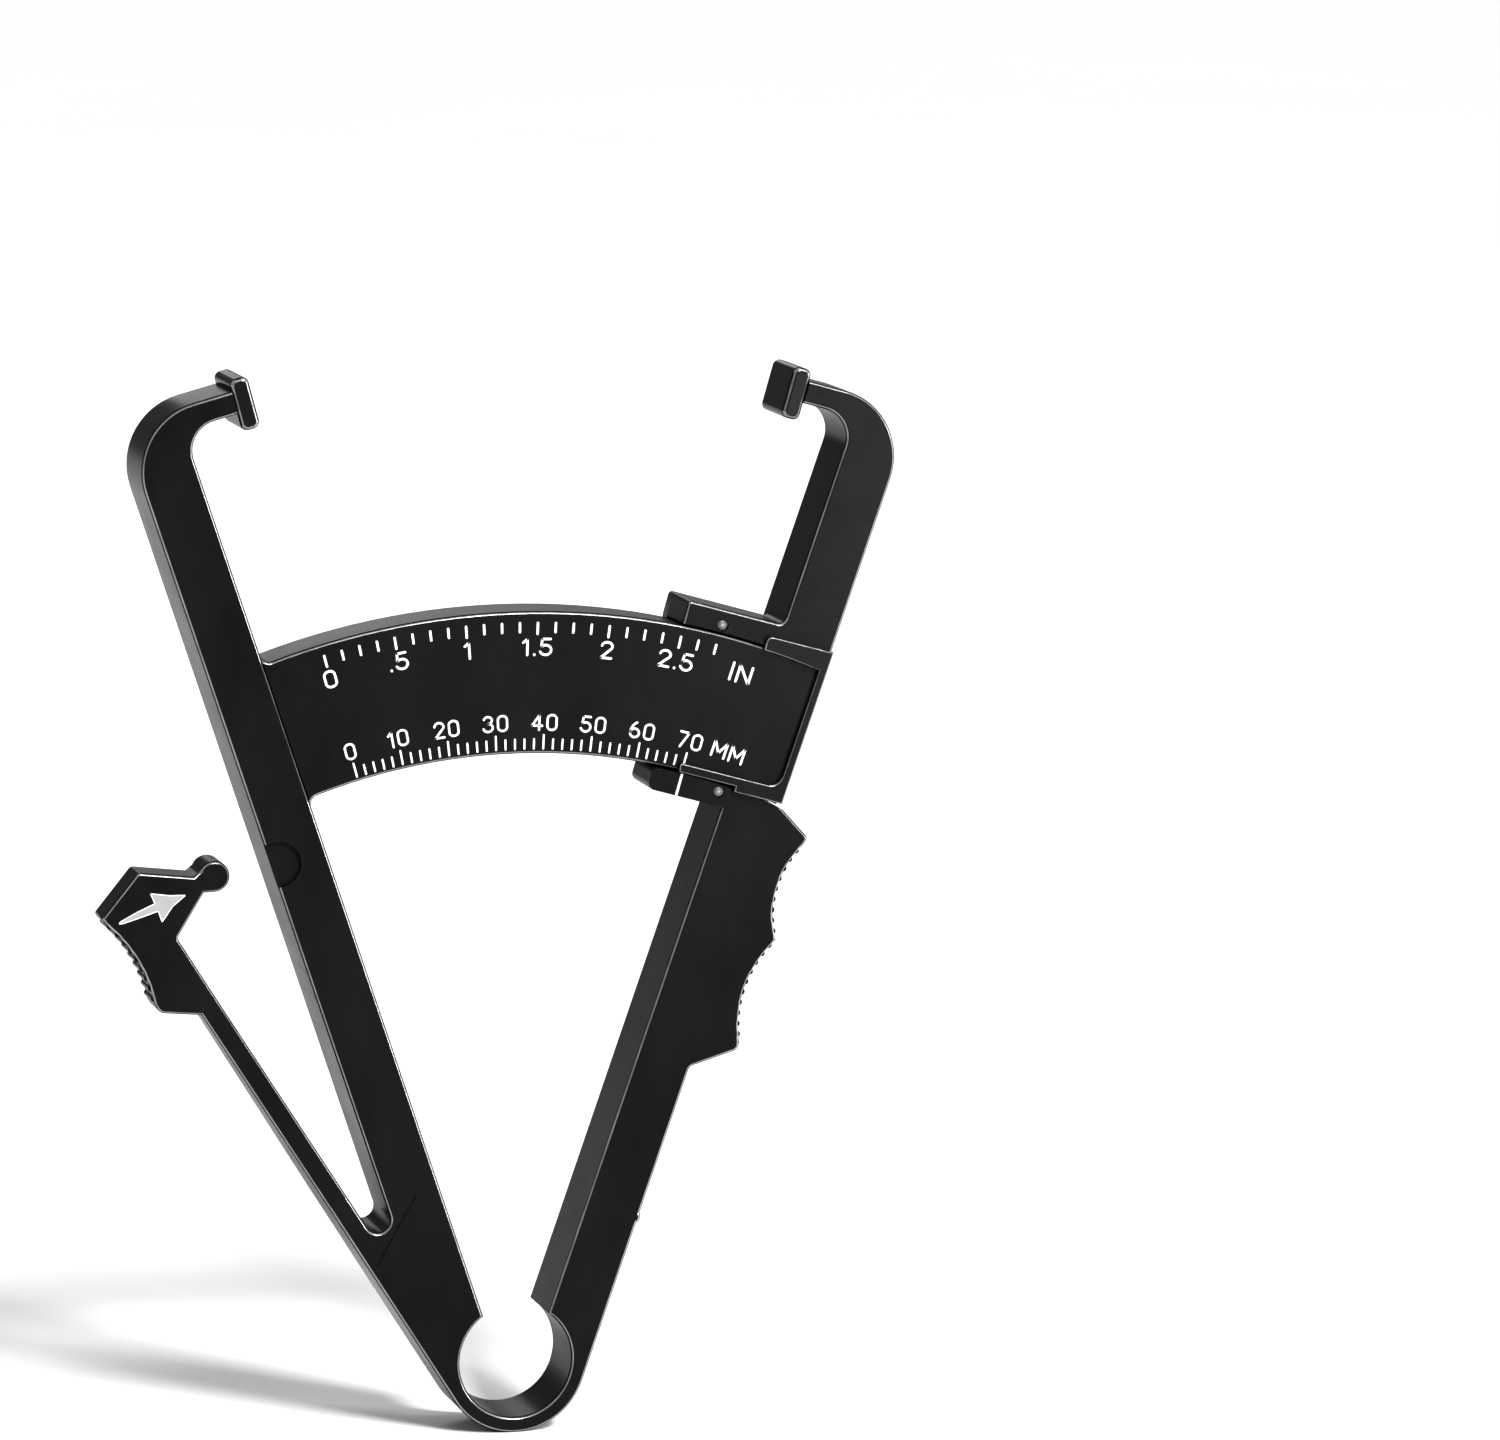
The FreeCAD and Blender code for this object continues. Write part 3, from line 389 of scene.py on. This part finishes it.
def bar_section(inner, outer):
    """The bar's cross-section, its long edges broken as on the moulded arms."""
    return [(outer - EDGE, FRONT), (outer, FRONT + EDGE), (outer, BACK - EDGE), (outer - EDGE, BACK),
            (inner + EDGE, BACK), (inner, BACK - EDGE), (inner, FRONT + EDGE), (inner + EDGE, FRONT)]


def swept_bar(stations, section):
    """A closed bar through a run of stations; each turns a section point into a place."""
    def build(made):
        rings = [[made.verts.new(place(point)) for point in section] for place in stations]
        count = len(section)
        for first, second in zip(rings, rings[1:]):
            for k in range(count):
                following = (k + 1) % count
                made.faces.new((first[k], first[following], second[following], second[k]))
        made.faces.new(rings[0])
        made.faces.new(rings[-1])
    return build


def ring_place(degrees):
    """A station on the ring, at an angle from straight up, positive to the right."""
    a = math.radians(degrees)
    return lambda point: (point[0] * math.sin(a), point[1], point[0] * math.cos(a))


def lever_point(across, along):
    """A point of the lever's own line-up on the X-Z plane."""
    return leaned(-across, along, LEVER_TURN)


def lever_place(along):
    """A station on the lever, so far along it."""
    def place(point):
        x, z = lever_point(point[0], along)
        return (x, point[1], z)
    return place


# The ring's thin arc runs round below, from square to the lever to square to the moving arm.
RING_RIGHT = REST + ARM_LEAN + 90
RING_LEFT = 270 + LEVER_TURN
ring_stations = [ring_place(RING_LEFT + (RING_RIGHT - RING_LEFT) * k / RING_STEPS)
                 for k in range(RING_STEPS + 1)]
ring = mesh_object("ring_spring_bend", swept_bar(ring_stations, bar_section(RING_INNER, RING_OUTER)),
                   BODY_PLASTIC)
soften(ring)
left_foot = ring_place(RING_LEFT)((RING_INNER, 0))
right_foot = ring_place(RING_RIGHT)((RING_INNER, 0))
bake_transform(ring)
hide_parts("ring_spring")

# The round root between arm and lever touches the arm's outer side and the lever's inner side.
# The flexure starts level with the root's centre.
root_across = RING_OUTER + LEVER_ROOT_RADIUS
lean = math.radians(LEVER_LEAN)
root_along = (root_across * math.cos(lean) - LEVER_INNER + LEVER_ROOT_RADIUS) / math.sin(lean)
flexure_foot = leaned(root_across, root_along, -LEVER_LEAN)[1]
flexure_stations = [lever_place(flexure_foot + FLEXURE_LENGTH * k / FLEXURE_STEPS)
                    for k in range(FLEXURE_STEPS + 1)]
flexure = mesh_object("lever_flexure_bend",
                      swept_bar(flexure_stations, bar_section(LEVER_INNER, RING_OUTER)), BODY_PLASTIC)
soften(flexure)
foot_x, foot_z = lever_point(LEVER_INNER, flexure_foot)
top_x, top_z = lever_point(LEVER_INNER, flexure_foot + FLEXURE_LENGTH)
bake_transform(flexure)
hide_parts("lever_flexure")

# ---------------------------------------------------------------- pen strokes

PRINT_THICKNESS = 0.025
GAP_BETWEEN = 0.36
BOW_STEPS = 12
OVAL_STEPS = 20
CAP_STEPS = 6
SHARP_TURN = math.radians(38)
SAME_PLACE = 1e-6


def bow(x, z, wide, high, start, end, steps=BOW_STEPS):
    """Points along part of an oval, angles in degrees from +X toward +Z."""
    turns = [math.radians(start + (end - start) * k / steps) for k in range(steps + 1)]
    return [(x + wide * math.cos(a), z + high * math.sin(a)) for a in turns]


def oval(x, z, wide, high):
    return bow(x, z, wide, high, 0, 360, OVAL_STEPS)


# Each character has its width and its pen strokes, in a cell one unit high.
# A stroke that ends where it starts is closed.
STROKES = {
    "0": (0.50, [bow(0.25, 0.74, 0.25, 0.26, 0, 180) + bow(0.25, 0.26, 0.25, 0.26, 180, 360)
                 + [(0.50, 0.74)]]),
    "1": (0.24, [[(0.00, 0.78), (0.20, 1.00), (0.20, 0.00)]]),
    "2": (0.50, [bow(0.25, 0.74, 0.25, 0.26, 175, -32) + [(0.00, 0.00), (0.50, 0.00)]]),
    "3": (0.50, [bow(0.24, 0.765, 0.225, 0.235, 165, -90), bow(0.24, 0.265, 0.26, 0.265, 90, -165)]),
    "4": (0.56, [[(0.40, 0.00), (0.40, 1.00), (0.00, 0.28), (0.56, 0.28)]]),
    "5": (0.50, [[(0.46, 1.00), (0.07, 1.00), (0.03, 0.50)] + bow(0.23, 0.31, 0.27, 0.31, 128, -160)]),
    "6": (0.50, [oval(0.25, 0.29, 0.25, 0.29), bow(0.50, 0.29, 0.50, 0.78, 180, 115)]),
    "7": (0.48, [[(0.00, 1.00), (0.48, 1.00), (0.14, 0.00)]]),
    "8": (0.50, [oval(0.25, 0.77, 0.21, 0.23), oval(0.25, 0.27, 0.25, 0.27)]),
    ".": (0.06, [[(0.03, 0.00), (0.03, 0.03)]]),
    "I": (0.06, [[(0.03, 0.00), (0.03, 1.00)]]),
    "N": (0.50, [[(0.00, 0.00), (0.00, 1.00), (0.50, 0.00), (0.50, 1.00)]]),
    "M": (0.62, [[(0.00, 0.00), (0.00, 1.00), (0.31, 0.25), (0.62, 1.00), (0.62, 0.00)]]),
}


def heading(first, second):
    return math.atan2(second[1] - first[1], second[0] - first[0])


def smooth_runs(points):
    """A pen stroke cut at its sharp corners into runs that bend only gently."""
    runs = [[points[0]]]
    for before, here, after in zip(points, points[1:], points[2:]):
        runs[-1].append(here)
        turn = abs((heading(here, after) - heading(before, here) + math.pi) % math.tau - math.pi)
        if turn > SHARP_TURN:
            runs.append([here])
    runs[-1].append(points[-1])
    return runs


def stroke_sides(points, half, closed):
    """The two sides of a gently bent run of even width."""
    left, right = [], []
    count = len(points)
    for k, here in enumerate(points):
        before = points[(k - 1) % count] if closed or k else here
        after = points[(k + 1) % count] if closed or k < count - 1 else here
        across = heading(before, after) + math.pi / 2
        side = (half * math.cos(across), half * math.sin(across))
        left.append((here[0] + side[0], here[1] + side[1]))
        right.append((here[0] - side[0], here[1] - side[1]))
    return left, right


def cap(centre, turn, half):
    """The half round end of a stroke that runs toward the turn, from its left side to its right side."""
    turns = [turn + math.pi / 2 - math.pi * k / CAP_STEPS for k in range(CAP_STEPS + 1)]
    return [(centre[0] + half * math.cos(a), centre[1] + half * math.sin(a)) for a in turns]


def add_wall(made, low, high):
    for k in range(len(low) - 1):
        made.faces.new((low[k], low[k + 1], high[k + 1], high[k]))


def add_sheet(made, loop, place, thickness):
    """A thin raised sheet of ink over a loop."""
    low = [made.verts.new(place(point, 0.0)) for point in loop]
    high = [made.verts.new(place(point, thickness)) for point in loop]
    made.faces.new(high)
    add_wall(made, low + low[:1], high + high[:1])


def add_run(made, points, half, place, thickness, closed):
    """One gently bent run of ink, with round ends unless it is closed."""
    left, right = stroke_sides(points, half, closed)
    if closed:
        left.append(left[0])
        right.append(right[0])
    rows = [[made.verts.new(place(point, level)) for point in side]
            for side in (left, right) for level in (0.0, thickness)]
    left_low, left_high, right_low, right_high = rows
    add_wall(made, left_high, right_high)
    add_wall(made, left_low, left_high)
    add_wall(made, right_low, right_high)
    if not closed:
        add_sheet(made, cap(points[-1], heading(points[-2], points[-1]), half), place, thickness)
        add_sheet(made, cap(points[0], heading(points[1], points[0]), half), place, thickness)


def add_stroke(made, points, half, place, thickness):
    """A pen stroke of even width; place turns a drawn point and its level above the face into a place."""
    if math.dist(points[0], points[-1]) < SAME_PLACE:
        add_run(made, points[:-1], half, place, thickness, True)
        return
    for run in smooth_runs(points):
        add_run(made, run, half, place, thickness, False)


# ---------------------------------------------------------------- the two printed scales

INCH = 25.4
INCH_SCALE_EIGHTHS = 22
INCH_TICK_TOP = 96.65
INCH_TICK_FOOT = 95.2
INCH_LONG_TICK_FOOT = 94.95
INCH_TICK_WIDTH = 0.30
INCH_NUMBER = {"radius": 93.4, "height": 2.35, "wide": 1.36, "pen": 0.30}
INCH_UNIT = {"degrees": 18.05, "radius": 93.8, "height": 2.55, "wide": 1.55, "pen": 0.32}
MM_SCALE_END = 70
MM_TICK_FOOT = 80.15
MM_TICK_TOP = 81.6
MM_LONG_TICK_TOP = 82.15
MM_TICK_WIDTH = 0.24
MM_NUMBER = {"radius": 83.65, "height": 2.2, "wide": 1.24, "pen": 0.27}
MM_UNIT = {"degrees": 19.2, "radius": 83.65, "height": 2.3, "wide": 1.4, "pen": 0.29}


def on_dial(degrees):
    """Places a point drawn straight up from the origin on the printed face, turned with the dial."""
    def place(point, level):
        x, z = leaned(point[0], point[1], degrees)
        return (x, FRONT - level, z)
    return place


def dial_angle(reading):
    """Where a jaw opening in millimetres is read on the dial, from straight up."""
    return 2 * math.degrees(math.asin(reading / 2 / JAW_RADIUS)) - REST


def tick(made, degrees, low, high, width):
    half = width / 2
    add_stroke(made, [(0, low + half), (0, high - half)], half, on_dial(degrees), PRINT_THICKNESS)


def word(made, text, degrees, radius, height, wide, pen):
    """A short word centred on a radial line of the dial."""
    tall = height - pen
    total = sum(STROKES[c][0] * wide for c in text) + GAP_BETWEEN * (len(text) - 1)
    x = -total / 2 * tall
    for character in text:
        advance, strokes = STROKES[character]
        for stroke in strokes:
            points = [(x + px * wide * tall, radius - tall / 2 + pz * tall) for px, pz in stroke]
            add_stroke(made, points, pen / 2, on_dial(degrees), PRINT_THICKNESS)
        x += (advance * wide + GAP_BETWEEN) * tall


def inch_scale(made):
    """A tick at each eighth of an inch, longer at each half, with a number there."""
    for eighth in range(INCH_SCALE_EIGHTHS + 1):
        foot = INCH_LONG_TICK_FOOT if eighth % 4 == 0 else INCH_TICK_FOOT
        tick(made, dial_angle(eighth * INCH / 8), foot, INCH_TICK_TOP, INCH_TICK_WIDTH)
    for half_inch, text in enumerate(("0", ".5", "1", "1.5", "2", "2.5")):
        word(made, text, dial_angle(half_inch * INCH / 2), **INCH_NUMBER)
    word(made, "IN", **INCH_UNIT)


def millimetre_scale(made):
    """A tick every 2 mm, longer every 10 mm, with a number there."""
    for reading in range(0, MM_SCALE_END + 1, 2):
        top = MM_LONG_TICK_TOP if reading % 10 == 0 else MM_TICK_TOP
        tick(made, dial_angle(reading), MM_TICK_FOOT, top, MM_TICK_WIDTH)
    for reading in range(0, MM_SCALE_END + 1, 10):
        word(made, str(reading), dial_angle(reading), **MM_NUMBER)
    word(made, "MM", **MM_UNIT)


for name, build in (("inch_scale_print", inch_scale), ("millimetre_scale_print", millimetre_scale)):
    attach(mesh_object(name, build, WHITE_INK), "fixed_side")

# ---------------------------------------------------------------- the index line

INDEX_HALF_WIDTH = 0.155
INDEX_MARGIN = 0.02
INDEX_PAINT = 0.105


def index_line(made):
    """The white line on the lower guide, nearly filling its shallow groove."""
    def place(point, level):
        x, z = leaned(point[0], point[1], REST)
        return (x, FRONT - GUIDE_PROUD + INDEX_GROOVE_DEPTH - level, z)
    low = CHANNEL_LOW - GUIDE_WIDTH + INDEX_MARGIN
    high = CHANNEL_LOW - INDEX_MARGIN
    add_sheet(made, [(-INDEX_HALF_WIDTH, low), (INDEX_HALF_WIDTH, low), (INDEX_HALF_WIDTH, high),
                     (-INDEX_HALF_WIDTH, high)], place, INDEX_PAINT)


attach(mesh_object("index_line_print", index_line, WHITE_INK), "moving_side")

# ---------------------------------------------------------------- the arrow on the lever's head

# Across and along the lever: the tip, one barb, the shaft out to its blunt end and back, the other barb.
ARROW = [(2.89, 75.87), (4.62, 76.98), (6.52, 78.60), (6.74, 77.19), (9.3, 77.56), (11.7, 77.74),
         (11.95, 77.62), (11.78, 77.45), (9.4, 76.78), (6.90, 76.14), (7.24, 74.68), (5.03, 75.60)]
ARROW_LINE_HALF_WIDTH = 0.055
ARROW_LINE_RAISE = 0.005


def on_head(point, level):
    """Places a point given in the lever's line-up on the front of its head."""
    x, z = lever_point(point[0], point[1])
    return (x, -HEAD_HALF - level, z)


def arrow(made):
    """The light arrow on the lever's head that points toward the arm's half-round seat."""
    add_sheet(made, ARROW, on_head, PRINT_THICKNESS)


def arrow_outline(made):
    thickness = PRINT_THICKNESS + ARROW_LINE_RAISE
    for first, second in zip(ARROW, ARROW[1:] + ARROW[:1]):
        add_stroke(made, [first, second], ARROW_LINE_HALF_WIDTH, on_head, thickness)


for name, build, ink in (("thumb_arrow_print", arrow, GREY_INK),
                         ("thumb_arrow_outline", arrow_outline, WHITE_INK)):
    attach(mesh_object(name, build, ink), "thumb_lever")

# ---------------------------------------------------------------- floor

FLOOR_LEVEL = -RING_OUTER
FLOOR_RADII = (300, 1200, 4000)
FLOOR_SIDES = 96


def floor_mesh(made):
    """A wide pale disc."""
    turns = [math.tau * k / FLOOR_SIDES for k in range(FLOOR_SIDES)]
    rings = [[made.verts.new((radius * math.cos(a), radius * math.sin(a), FLOOR_LEVEL)) for a in turns]
             for radius in FLOOR_RADII]
    made.faces.new(rings[0])
    for first, second in zip(rings, rings[1:]):
        for k in range(FLOOR_SIDES):
            following = (k + 1) % FLOOR_SIDES
            made.faces.new((first[k], second[k], second[following], first[following]))


floor = mesh_object("studio_floor", floor_mesh, floor_finish())

# ---------------------------------------------------------------- light

TOOL_MIDDLE = Vector((-0.002, 0, 0.060))
RIGHT_OF_JAWS = Vector((0.062, -0.005, 0.124))
WORLD_STRENGTH = 0.19


def toward(azimuth, elevation):
    """The direction of a light or camera; azimuth is from the front, positive to the right."""
    a, e = math.radians(azimuth), math.radians(elevation)
    return Vector((math.sin(a) * math.cos(e), -math.cos(a) * math.cos(e), math.sin(e)))


def place_lamp(name, data, azimuth, elevation, distance, target):
    """Stands a lamp off from its target and turns it to face there."""
    away = toward(azimuth, elevation)
    lamp = bpy.data.objects.new(name, data)
    lamp.location = target + away * distance
    lamp.rotation_euler = (-away).to_track_quat("-Z", "Y").to_euler()
    bpy.context.scene.collection.objects.link(lamp)


def sun_light(name, azimuth, elevation, distance, softness, strength):
    """A sun; its softness is the angle across its disc, in degrees."""
    data = bpy.data.lights.new(name, "SUN")
    data.energy = strength
    data.angle = math.radians(softness)
    place_lamp(name, data, azimuth, elevation, distance, TOOL_MIDDLE)


def soft_light(name, azimuth, elevation, distance, size, watts, target=TOOL_MIDDLE):
    """A rectangular softbox."""
    data = bpy.data.lights.new(name, "AREA")
    data.shape = "RECTANGLE"
    data.size, data.size_y = size
    data.energy = watts
    place_lamp(name, data, azimuth, elevation, distance, target)


sun_light("key_light", azimuth=19.5, elevation=45, distance=2.0, softness=14, strength=4.75)
soft_light("right_light", azimuth=80, elevation=9, distance=1.2, size=(0.5, 0.35), watts=11.0)
soft_light("left_light", azimuth=-95, elevation=35, distance=1.2, size=(0.25, 0.5), watts=0.7)
soft_light("top_light", azimuth=62, elevation=58, distance=1.0, size=(0.30, 0.22), watts=3.2)
soft_light("back_light", azimuth=160, elevation=28, distance=1.5, size=(1.0, 0.7), watts=6.0)
# The front faces mirror this small box, which lightens them toward the upper right.
soft_light("near_light", azimuth=16.5, elevation=-7.4, distance=0.25, size=(0.07, 0.07), watts=0.26,
           target=RIGHT_OF_JAWS)

world = bpy.data.worlds.new("studio_world")
world.use_nodes = True
background = world.node_tree.nodes["Background"]
background.inputs["Color"].default_value = (1.0, 1.0, 1.0, 1.0)
background.inputs["Strength"].default_value = WORLD_STRENGTH
bpy.context.scene.world = world

# ---------------------------------------------------------------- camera

# Fitted to the photograph: about a metre off, to the left and a little above, with a long lens.
CAMERA_AZIMUTH = 15.86
CAMERA_ELEVATION = 8.68
CAMERA_ROLL = 0.72
FOCAL_PIXELS = 8000.0
PICTURE_WIDTH = 1500.0
SENSOR = 36.0
DISTANCE = 1035.85
# How far to the right of the line of sight and above it the ring's front centre lies.
HINGE_RIGHT = -30.28
HINGE_UP = -83.03
CLIP_START = 0.05
CLIP_END = 40.0

away = toward(-CAMERA_AZIMUTH, CAMERA_ELEVATION)
level_right = (-away).cross(Vector((0, 0, 1))).normalized()
level_up = level_right.cross(-away)
roll = math.radians(CAMERA_ROLL)
right = level_right * math.cos(roll) + level_up * math.sin(roll)
up = level_up * math.cos(roll) - level_right * math.sin(roll)
eye = Vector((0, FRONT, 0)) + away * DISTANCE - right * HINGE_RIGHT - up * HINGE_UP
camera_data = bpy.data.cameras.new("camera")
camera_data.sensor_width = SENSOR
camera_data.lens = SENSOR * FOCAL_PIXELS / PICTURE_WIDTH
camera_data.clip_start = CLIP_START
camera_data.clip_end = CLIP_END
camera = bpy.data.objects.new("camera", camera_data)
camera.matrix_world = Matrix.Translation(eye * MM) @ Matrix((right, up, away)).transposed().to_4x4()
bpy.context.scene.collection.objects.link(camera)
bpy.context.scene.camera = camera
bpy.context.scene.view_settings.view_transform = "Standard"
